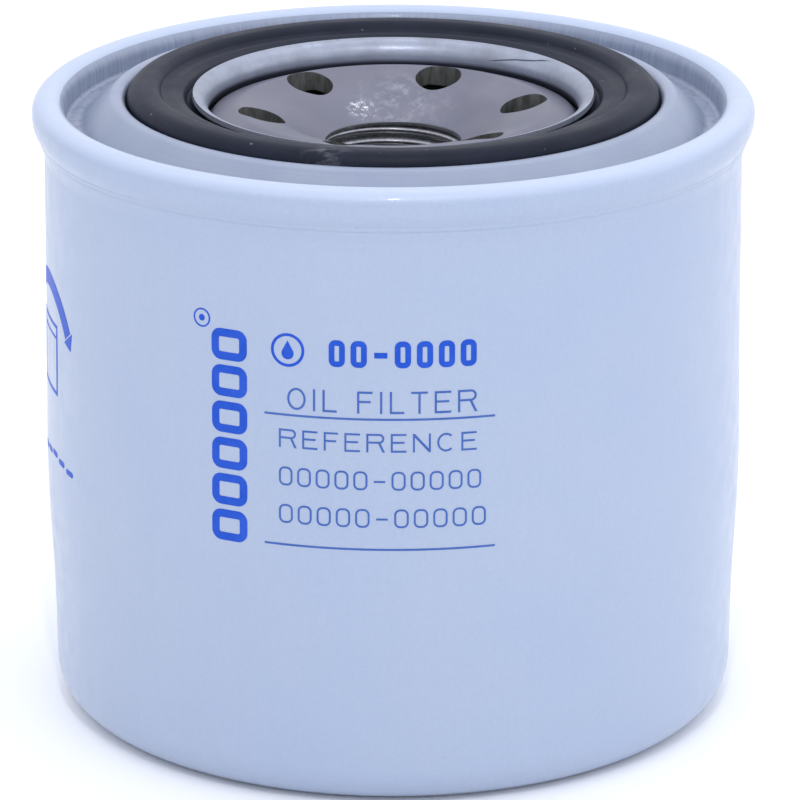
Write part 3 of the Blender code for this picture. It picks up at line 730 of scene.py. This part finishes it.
def build_thread():
    """The hub's internal thread: a 60 degree ridge wound up the bore, fading out at both ends.
    Its crests cross the back of the bore at THREAD_CREST_Z and whole pitches from there."""
    steps_per_turn = 96
    low, high = HUB_END + 0.9 * MM, HUB_MOUTH - 0.62 * MM
    back = radians(90)
    count = round((high - low) / THREAD_PITCH * steps_per_turn)
    root = THREAD_MAJOR + 0.06 * MM
    root_half, shoulder_half, crest_half = 0.4375, 0.14, 0.08  # half widths of the ridge, in pitches
    rings = []
    for step in range(count + 1):
        middle = low + (high - low) * step / count
        angle = back + 2 * pi * (middle - THREAD_CREST_Z) / THREAD_PITCH
        fade = min(1.0, 0.08 + 4 * (min(step, count - step) / steps_per_turn))
        crest = THREAD_MAJOR - (THREAD_MAJOR - THREAD_MINOR) * fade
        flank = [(root, root_half), (crest + 0.05 * MM, shoulder_half), (crest, crest_half)]
        ridge = [(radius, -half) for radius, half in flank] + flank[::-1]
        rings.append([(radius * cos(angle), radius * sin(angle),
                       middle + rise * THREAD_PITCH * (0.3 + 0.7 * fade)) for radius, rise in ridge])
    finish_piece("hub_thread", tube_along(rings), thread_steel("thread_oiled"), "shell")


def build_valve():
    """The anti-drainback valve: a rubber sheet turned from its foot on the hub out to its skirt."""
    foot = HUB_END - 0.4 * MM - 0.65 * MM
    path = rounded([(9.5 * MM, foot), (12.5 * MM, foot, 0.9 * MM),
                    *metres(((12.5, -11.2, 1.5), (24.4, -8.3, 1.0), (26.6, -8.3)), RIM_TOP)])
    fine = []
    for start, end in zip(path, path[1:]):
        cuts = max(1, round((Vector(end) - Vector(start)).length / (0.8 * MM)))
        fine += [tuple(Vector(start).lerp(Vector(end), cut / cuts)) for cut in range(cuts)]
    outline = sheet(fine + [path[-1]], 1.3 * MM)
    valve = lathe("drainback_valve", outline, black_nitrile("drainback_rubber"), None, "anti_drainback_valve",
                  INNER_SIDES)
    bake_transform(valve)


# ---- printed marks

INK_FILM = 0.035 * MM


def bar(left, right, bottom, top):
    """A flat block on the print's plane."""
    return [(left, bottom), (right, bottom), (right, top), (left, top)]


def pill(left, right, middle, height):
    """A dash with round ends."""
    half = height / 2
    return (arc((right - half, middle), half, -90, 90, 10) + arc((left + half, middle), half, 90, 270, 10))


def band(center, radius, width, start, end, steps=40):
    """A stretch of a ring, as an outline."""
    return (arc(center, radius + width / 2, start, end, steps)
            + arc(center, radius - width / 2, end, start, steps))


def drop(center, radius):
    """An oil drop: a round belly drawn up to a point."""
    tip = (center[0], center[1] + 2.1 * radius)
    return [tip] + arc(center, radius, 150, 390, 28)


def loop_half(left, right, bottom, top, corner, side):
    """The right (side 1) or left (side -1) half of a block's outline with round corners, from its
    foot to its head."""
    middle = (left + right) / 2
    edge = (right - left) / 2 - corner
    lower = arc((edge, bottom + corner), corner, -90, 0, 8)
    upper = arc((edge, top - corner), corner, 0, 90, 8)
    return [(middle + side * x, z) for x, z in [(0.0, bottom)] + lower + upper + [(0.0, top)]]


def cell(left, right, bottom, top, stroke, corner):
    """A hollow block with round corners: the placeholder for one letter, in two halves."""
    inner = max(corner - stroke, 0.05)
    halves = []
    for side in (1, -1):
        outside = loop_half(left, right, bottom, top, corner, side)
        inside = loop_half(left + stroke, right - stroke, bottom + stroke, top - stroke, inner, side)
        halves.append(outside + inside[::-1])
    return halves


# Corners of the straight letters. First the column: left, stem's right, d and e beside the middle,
# a the arm's end, q one stroke from the right, right. Then the row: bottom, f one stroke over it,
# m and n beside the arm, h one stroke under the top, top, v and w at the ends of the N's diagonal.
LETTERS = {"I": "db eb et dt", "L": "lb rb rf sf st lt", "T": "db eb eh rh rt lt lh dh",
           "E": "lb rb rf sf sm am an sn sh rh rt lt", "F": "lb sb sm am an sn sh rh rt lt",
           "N": "lb sb sv qb rb rt qt qw st lt"}
ROUND_LETTERS = {"O": ((90, 270), (270, 450)), "C": ((48, 312),)}  # stretches of an oval ring
DIAGONAL = 1.9  # height of the N's diagonal, in strokes


def letter(kind, left, bottom, width, height, stroke):
    """A plain upright letter of one stroke width, as outlines that meet but do not overlap."""
    right, top = left + width, bottom + height
    center, middle = (left + right) / 2, bottom + 0.53 * height
    stem, lower, upper = left + stroke, middle - stroke / 2, middle + stroke / 2
    if kind in LETTERS:
        columns = {"l": left, "s": stem, "d": center - stroke / 2, "e": center + stroke / 2,
                   "a": right - 0.12 * width, "q": right - stroke, "r": right}
        rows = {"b": bottom, "f": bottom + stroke, "m": lower, "n": upper, "h": top - stroke, "t": top,
                "v": top - DIAGONAL * stroke, "w": bottom + DIAGONAL * stroke}
        return [[(columns[column], rows[row]) for column, row in LETTERS[kind].split()]]
    if kind == "R":
        reach = (top - lower) / 2
        bowl_left = right - reach
        bowl = [*arc((bowl_left, top - reach), reach, 90, -90, 14), (stem, lower), (stem, upper),
                (bowl_left, upper), *arc((bowl_left, top - reach), reach - stroke, -90, 90, 14),
                (stem, top - stroke), (stem, top)]
        leg = [(right - stroke * 0.9, bottom), (right + stroke * 0.35, bottom),
               (bowl_left + stroke * 0.7, lower), (bowl_left - stroke * 0.55, lower)]
        return [bar(left, stem, bottom, top), bowl, leg]
    outlines = []
    for start, end in ROUND_LETTERS[kind]:
        ring = arc((0, 0), 1, start, end, 26)
        outlines.append([(center + x * across, bottom + height / 2 + z * up) for side, across, up in (
            (ring, width / 2, height / 2), (ring[::-1], width / 2 - stroke, height / 2 - stroke))
            for x, z in side])
    return outlines


def words(text, left, right, bottom, height, stroke):
    """A line of evenly spaced plain letters between two ends; narrow ones get less room."""
    share = {"I": 0.42, " ": 0.55, "L": 0.86, "F": 0.9, "E": 0.95, "T": 0.95}
    room = [share.get(kind, 1.05) for kind in text]
    unit = (right - left) / (sum(room) - 0.28)
    outlines = []
    at = left
    for kind, width in zip(text, room):
        if kind != " ":
            outlines += letter(kind, at, bottom, (width - 0.28) * unit, height, stroke)
        at += width * unit
    return outlines


def placeholder(left, right, bottom, top, stroke, cells, dash_at):
    """A line of hollow cells with a dash in it, in place of a number."""
    pitch = (right - left) * (1 + 0.26 / cells) / cells
    width = 0.74 * pitch
    dash = (bottom + top) / 2 - 0.1
    shapes = []
    for index in range(cells):
        start = left + pitch * index
        if index == dash_at:
            shapes.append(bar(start + 0.1 * width, start + 0.9 * width, dash - stroke / 2, dash + stroke / 2))
        else:
            shapes += cell(start, start + width, bottom, top, stroke, 0.42 * width)
    return shapes


def heavy_shapes():
    """The bold printed shapes, as outlines in millimetres: round the can from its front, and height."""
    shapes = []
    # the big upright mark: a column of heavy hollow blocks
    for index in range(6):
        low = 34.6 + 4.72 * index
        shapes += cell(-23.6, -18.65, low, low + 4.05, 1.05, 1.3)
    # a dotted ring over it, and a round badge with an oil drop
    sign, badge = (-25.0, 63.2), (-13.24, 60.5)
    for center, radius, width in ((sign, 1.12, 0.2), (badge, 1.98, 0.36)):
        shapes += [band(center, radius, width, 0, 180), band(center, radius, width, 180, 360)]
    shapes += [arc(sign, 0.42, 0, 360, 40)[:-1], drop((badge[0], badge[1] - 0.42), 0.78)]
    shapes += placeholder(-8.0, 10.4, 58.75, 62.2, 0.72, 7, 2)
    return shapes + turn_pictogram()


def fine_shapes():
    """The thin letters, blocks and rules, in the same measures."""
    shapes = words("OIL FILTER", -13.3, 10.4, 52.85, 2.85, 0.27)
    shapes += words("REFERENCE", -14.4, 10.4, 47.85, 2.4, 0.24)
    shapes += placeholder(-14.4, 11.0, 42.9, 45.35, 0.24, 11, 5)
    shapes += placeholder(-14.4, 11.6, 38.0, 40.45, 0.24, 11, 5)
    return shapes + [bar(-16.3, 12.75, height - 0.13, height + 0.13) for height in (52.1, 35.15)]


def turn_pictogram():
    """Which way the filter is turned on: a plain can outline under a bent arrow, over a line of dashes."""
    left, right, low, high, line = -67.5, -57.5, 44.5, 54.0, 0.45
    shapes = [bar(left, right, low, low + line), bar(left, right, high - line, high),
              bar(left, left + line, low, high), bar(right - line, right, low, high),
              bar(left, right, high - 1.9, high - 1.6)]
    center, reach = (-62.5, 47.5), 11.6
    shapes.append(band(center, reach, 2.2, 34, 122, 30))
    head = ((reach, 24), (13.3, 33), (9.9, 33))  # reach and angle of the arrowhead's corners
    shapes.append([arc(center, far, angle, angle, 1)[0] for far, angle in head])
    for index in range(5):
        start = -66.5 + 3.2 * index
        shapes.append(pill(start, start + 2.4, 36.3 - 0.35 * abs(index - 2), 0.75))
    return shapes


def lay_print(name, shapes, ink):
    """Lay printed shapes on the can as a thin closed film of ink."""
    work = bmesh.new()
    for outline in shapes:
        flat = bmesh.new()
        flat.faces.new([flat.verts.new((x * MM, z * MM, 0)) for x, z in outline])
        first = min(x for x, _ in outline) * MM
        last = max(x for x, _ in outline) * MM
        cuts = int((last - first) / (0.7 * MM))
        for cut in range(1, cuts + 1):
            at = first + (last - first) * cut / (cuts + 1)
            everything = list(flat.verts) + list(flat.edges) + list(flat.faces)
            bmesh.ops.bisect_plane(flat, geom=everything, plane_co=(at, 0, 0), plane_no=(1, 0, 0))
        raised = bmesh.ops.extrude_face_region(flat, geom=list(flat.faces))["geom"]
        top = [part for part in raised if isinstance(part, bmesh.types.BMVert)]
        bmesh.ops.translate(flat, verts=top, vec=(0, 0, 1))
        for vert in flat.verts:
            around, height, lift = vert.co
            radius = can_radius(height) + (INK_FILM if lift > 0.5 else -0.01 * MM)
            angle = around / PRINT_RADIUS - pi / 2
            vert.co = (radius * cos(angle), radius * sin(angle), height)
        scratch = bpy.data.meshes.new("print_part")
        flat.to_mesh(scratch)
        flat.free()
        work.from_mesh(scratch)
        bpy.data.meshes.remove(scratch)
    finish_piece(name, work, ink, "shell")


def build_print():
    heavy = print_ink("heavy_ink", (0.006, 0.068, 0.48), (0.018, 0.086, 0.54))
    fine = print_ink("fine_ink", (0.040, 0.105, 0.37), (0.065, 0.140, 0.42))
    lay_print("printed_marks", heavy_shapes(), heavy)
    lay_print("printed_lines", fine_shapes(), fine)


def can_radius(height):
    """The can's outside radius at a height, from the same curve as its wall."""
    wall = flowing([(radius * MM, level * MM) for radius, level in CAN_WALL])
    for (radius, level), (next_radius, next_level) in zip(wall, wall[1:]):
        if next_level <= height <= level:
            share = (level - height) / (level - next_level)
            return radius + (next_radius - radius) * share
    return CAN_WALL[0][0] * MM


# ---- the inside

def build_element():
    """End caps, adhesive rings, tube and paper."""
    tin = strip_steel("cap_tinplate", (0.66, 0.63, 0.54))
    for node, toward in (("upper_end_cap", -1), ("lower_end_cap", 1)):
        low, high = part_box(node)
        level = high.z - 0.25 * MM if toward < 0 else low.z + 0.25 * MM
        rim = high.x - 0.25 * MM
        dip = 0.3 * toward
        centre = ((11.9, 0, 0.8), (11.9, -4)) if toward < 0 else ((9.0, 0),)
        ring = ((30.0, 0, 1.0), (29.4, dip, 0.6), (20.6, dip, 0.6), (20.0, 0, 1.0))
        corners = [(rim, level + toward * 4 * MM), (rim, level, 1.0 * MM), *metres(ring + centre, level)]
        lathe("pressed_" + node, sheet(rounded(corners), 0.5 * MM), tin, "element", node)
    resin = plastisol()
    for node, bore in (("upper_potting", 12.6 * MM), ("lower_potting", 13.4 * MM)):
        low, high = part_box(node)
        outline = rounded([(bore + 0.4 * MM, low.z), (high.x - 0.3 * MM, low.z, 0.2 * MM),
                           (high.x, low.z + 0.3 * MM), (high.x, high.z), (bore, high.z),
                           (bore, low.z + 0.4 * MM)])
        lathe("cast_" + node, outline, resin, "element", node)
    build_paper()
    build_tube()


def build_paper():
    """The pleated ribbon, with round folds and slightly uneven pleats."""
    low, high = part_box("filter_media")
    pleats, inner, outer, paper = 32, 16.6 * MM, high.x - 0.6 * MM, 0.5 * MM
    wobble = random.Random(7)
    middles = [2 * pi * (pleat + wobble.uniform(-0.06, 0.06)) / pleats for pleat in range(pleats)]
    path = []
    for pleat, middle in enumerate(middles):
        following = middles[(pleat + 1) % pleats] + (2 * pi if pleat == pleats - 1 else 0)
        between = (middle + following) / 2
        for center_radius, fold, angle, side in ((outer - 0.5 * MM, 0.62 * MM, middle, 1),
                                                 (inner + 0.5 * MM, 0.5 * MM, between, -1)):
            for step in range(7):
                sweep = radians(-80 + 160 * step / 6)
                along = center_radius + side * fold * cos(sweep)
                across = fold * sin(sweep)
                path.append((along * cos(angle) - across * sin(angle),
                             along * sin(angle) + across * cos(angle)))
    loops = [offset(path, paper / 2, closed=True), offset(path, -paper / 2, closed=True)]
    work = bmesh.new()
    levels = [low.z + (high.z - low.z) * level / 6 for level in range(7)]
    grid = [[[work.verts.new((x, y, level)) for x, y in loop] for level in levels] for loop in loops]
    for side in grid:
        for below, above in zip(side, side[1:]):
            join_rings(work, below, above)
    for level in (0, -1):
        join_rings(work, grid[0][level], grid[1][level])
    finish_piece("pleated_media", work, filter_paper(), "element", "filter_media")


def build_tube():
    """The perforated tube that backs the paper."""
    low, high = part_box("centre_tube")
    middle = high.x - 0.25 * MM
    tube = lathe("perforated_tube", sheet([(middle, low.z), (middle, high.z)], 0.5 * MM),
                 strip_steel("tube_strip", (0.58, 0.59, 0.61)), "element", "centre_tube")
    rows, columns = 4, 6
    places = []
    for row in range(rows):
        height = low.z + (high.z - low.z) * (row + 0.5) / rows
        for column in range(columns):
            angle = 2 * pi * (column + 0.5 * (row % 2) + 0.125) / columns
            places.append(Matrix.Rotation(angle, 4, "Z") @ Matrix.Translation((middle, 0, height))
                          @ Matrix.Rotation(pi / 2, 4, "Y"))
    drill(tube, 2.2 * MM, 4 * MM, 32, places)


def spring_rings(coil_radius, wire_radius, low, high, turns, sections, wire_sides=16):
    """Rings of a compression spring whose end turns lie flat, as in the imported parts."""
    flat = 0.4  # turns that lie flat at each end
    count = round(turns * sections)
    travel = high - low - 2 * wire_radius
    rings = []
    for step in range(count + 1):
        turn = turns * step / count
        rise = min(max((turn - flat) / (turns - 2 * flat), 0.0), 1.0)
        around = 2 * pi * turn
        ring = []
        for side in range(wire_sides):
            angle = 2 * pi * side / wire_sides
            reach = coil_radius + wire_radius * cos(angle)
            height = low + wire_radius + travel * rise + wire_radius * sin(angle)
            ring.append((reach * cos(around), reach * sin(around), height))
        rings.append(ring)
    return rings


def build_springs():
    """The support spring under the element and the small spring of the bypass valve."""
    wire = strip_steel("spring_wire", (0.42, 0.44, 0.48), 0.26)
    low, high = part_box("element_spring")
    support = finish_piece("support_coil", tube_along(spring_rings(21 * MM, 1 * MM, low.z + 0.07 * MM,
                           high.z - 0.07 * MM, 2.75, 64)), wire, "shell", "element_spring")
    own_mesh(support)
    low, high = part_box("bypass_spring")
    small = finish_piece("bypass_coil", tube_along(spring_rings(5.2 * MM, 0.5 * MM, low.z, high.z, 4, 48)),
                         wire, "element", "bypass_spring")
    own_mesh(small)


def build_bypass():
    """Seat, cage, poppet and washer of the bypass valve, and the support spring's seat."""
    low, seat_z = (corner.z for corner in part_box("bypass_seat_plate"))
    bright = strip_steel("valve_strip", (0.60, 0.60, 0.59), 0.24)
    tin = strip_steel("cage_tinplate", (0.66, 0.63, 0.52))
    seat = rounded([*metres(((5.9, 0), (12.6, 0), (12.6, 0.8, 0.25), (7.4, 0.8, 0.4)), low),
                    (6.8 * MM, seat_z, 0.2 * MM), (5.9 * MM, seat_z, 0.3 * MM), (5.9 * MM, low + 0.1 * MM)])
    lathe("valve_seat", seat, bright, "element", "bypass_seat_plate")
    outline = rounded(metres(((0, -0.7), (2.6, -0.7, 0.3), (2.6, 0), (1.3, 0), (1.3, 1.8), (8.4, 1.8, 0.15),
                              (8.4, 2.6, 0.3), (1.5, 2.6, 0.3), (1.5, 13.0, 0.3), (0, 13.5))))
    lathe("valve_poppet", outline, bright, "poppet", "bypass_poppet", low_z=seat_z)
    washer = rounded(metres(((1.65, 0.32), (8.2, 0.32, 0.25), (8.2, 1.45, 0.2), (1.65, 1.45))))
    lathe("valve_washer", washer, black_nitrile("washer_rubber"), "poppet", "bypass_seal",
          low_z=seat_z)
    build_cage(tin)
    build_spring_seat(tin)


def build_cage(tin):
    """The windowed cup that guides the poppet's stem."""
    low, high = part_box("bypass_cage")
    foot, top, radius = low.z + 0.3 * MM, high.z - 0.3 * MM, 10.4 * MM
    path = rounded([(12.6 * MM, foot), (radius, foot, 0.7 * MM), (radius, top, 1.2 * MM), (2.3 * MM, top)])
    cage = lathe("valve_cage", sheet(path, 0.6 * MM), tin, "element", "bypass_cage")
    windows = bmesh.new()
    for index in range(4):
        at = (Matrix.Rotation(pi / 2 * (index + 0.5), 4, "Z")
              @ Matrix.Translation((radius, 0, 21.5 * MM)) @ Matrix.Diagonal((4 * MM, 8 * MM, 6.5 * MM, 1)))
        bmesh.ops.create_cube(windows, size=1, matrix=at)
    bmesh.ops.bevel(windows, geom=windows.edges[:], offset=0.9 * MM, segments=5, affect="EDGES",
                    clamp_overlap=True)
    subtract(cage, windows)


def build_spring_seat(tin):
    """The pressed ring that centres the support spring."""
    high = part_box("spring_seat")[1].z
    level = high - 0.3 * MM
    path = rounded([(17.2 * MM, level), (24.0 * MM, level, 0.9 * MM), (24.0 * MM, level - 2.2 * MM)])
    lathe("spring_ring", sheet(path, 0.6 * MM), tin, "element", "spring_seat")


def dress_small_nodes():
    """The seam's compound and the paper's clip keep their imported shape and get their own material."""
    for node, material in (("seam_compound", lining_compound()),
                           ("media_seam_clip", strip_steel("clip_strip", (0.62, 0.62, 0.63)))):
        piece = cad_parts[node]
        piece.data.materials.clear()
        piece.data.materials.append(material)


# ---- floor, light and camera

def build_floor():
    """A plain pale floor that fades up into the light."""
    mesh = bpy.data.meshes.new("studio_floor")
    size = 3.0
    mesh.from_pydata([(-size, -size, 0), (size, -size, 0), (size, size, 0), (-size, size, 0)], [],
                     [(0, 1, 2, 3)])
    floor = bpy.data.objects.new("studio_floor", mesh)
    link(floor)
    pale = new_material("studio_floor", (0.96, 0.965, 0.97), 0.8)
    color(pale, (0.955, 0.96, 0.965), (noise(pale, 6), (0.97, 0.97, 0.975)))
    mesh.materials.append(pale)


def area_light(name, location, target, width, height, power):
    """A soft box that faces a point."""
    data = bpy.data.lights.new(name, "AREA")
    data.shape = "RECTANGLE"
    data.size = width
    data.size_y = height
    data.energy = power
    light = bpy.data.objects.new(name, data)
    aim_from(light, location, target)


def aim_from(thing, location, target):
    """Put a lamp or camera at a place, turned towards a point."""
    thing.location = location
    thing.rotation_euler = (Vector(target) - Vector(location)).to_track_quat("-Z", "Y").to_euler()
    link(thing)


def build_lights():
    """White surroundings, brighter from above and the right, two long tubes above, a key lamp and soft
    boxes at both sides."""
    world = bpy.data.worlds.new("studio")
    bpy.context.scene.world = world
    world.use_nodes = True
    background = world.node_tree.nodes["Background"].inputs
    background["Color"].default_value = (0.95, 0.975, 1.05, 1.0)
    where = add(world, "ShaderNodeTexCoord").outputs["Generated"]
    lean = vector(world, "DOT_PRODUCT", where, (0.15, 0.04, 0.32), "Value")
    world.node_tree.links.new(number(world, "ADD", lean, 0.95), background["Strength"])
    crest, middle = Vector((0, 0, RIM_TOP)), (0, 0, 0.045)
    for name, elevation in (("front_tube", 55), ("back_tube", 110)):
        angle = radians(elevation)
        location = Vector((0, -cos(angle), sin(angle))) * 0.7 + crest
        area_light(name, location, crest, 1.0, 0.012, 0.45)
    area_light("key_lamp", (0.0, -0.42, 0.55), crest, 0.016, 0.016, 0.50)
    area_light("left_box", (-0.75, 0.05, 0.25), middle, 0.40, 0.60, 0.18)
    area_light("right_box", (0.75, 0.05, 0.25), middle, 0.40, 0.60, 0.30)
    bpy.context.scene.view_settings.view_transform = "Standard"


def build_camera():
    """The camera, above the print and looking down on the threaded end."""
    target = Vector((0, 0, 43 * MM))
    distance, elevation = 0.7, radians(18.35)
    data = bpy.data.cameras.new("camera")
    data.sensor_width = 36.0
    data.lens = 239.3
    data.shift_x = 0.0084
    data.shift_y = -0.0325
    data.clip_start = 0.01
    data.clip_end = 20.0
    camera = bpy.data.objects.new("camera", data)
    aim_from(camera, target + Vector((0, -cos(elevation), sin(elevation))) * distance, target)
    bpy.context.scene.camera = camera


build_can()
build_lid()
build_seam_run()
build_gasket()
build_plate()
build_thread()
build_valve()
build_print()
build_element()
build_springs()
build_bypass()
dress_small_nodes()
build_floor()
build_lights()
build_camera()
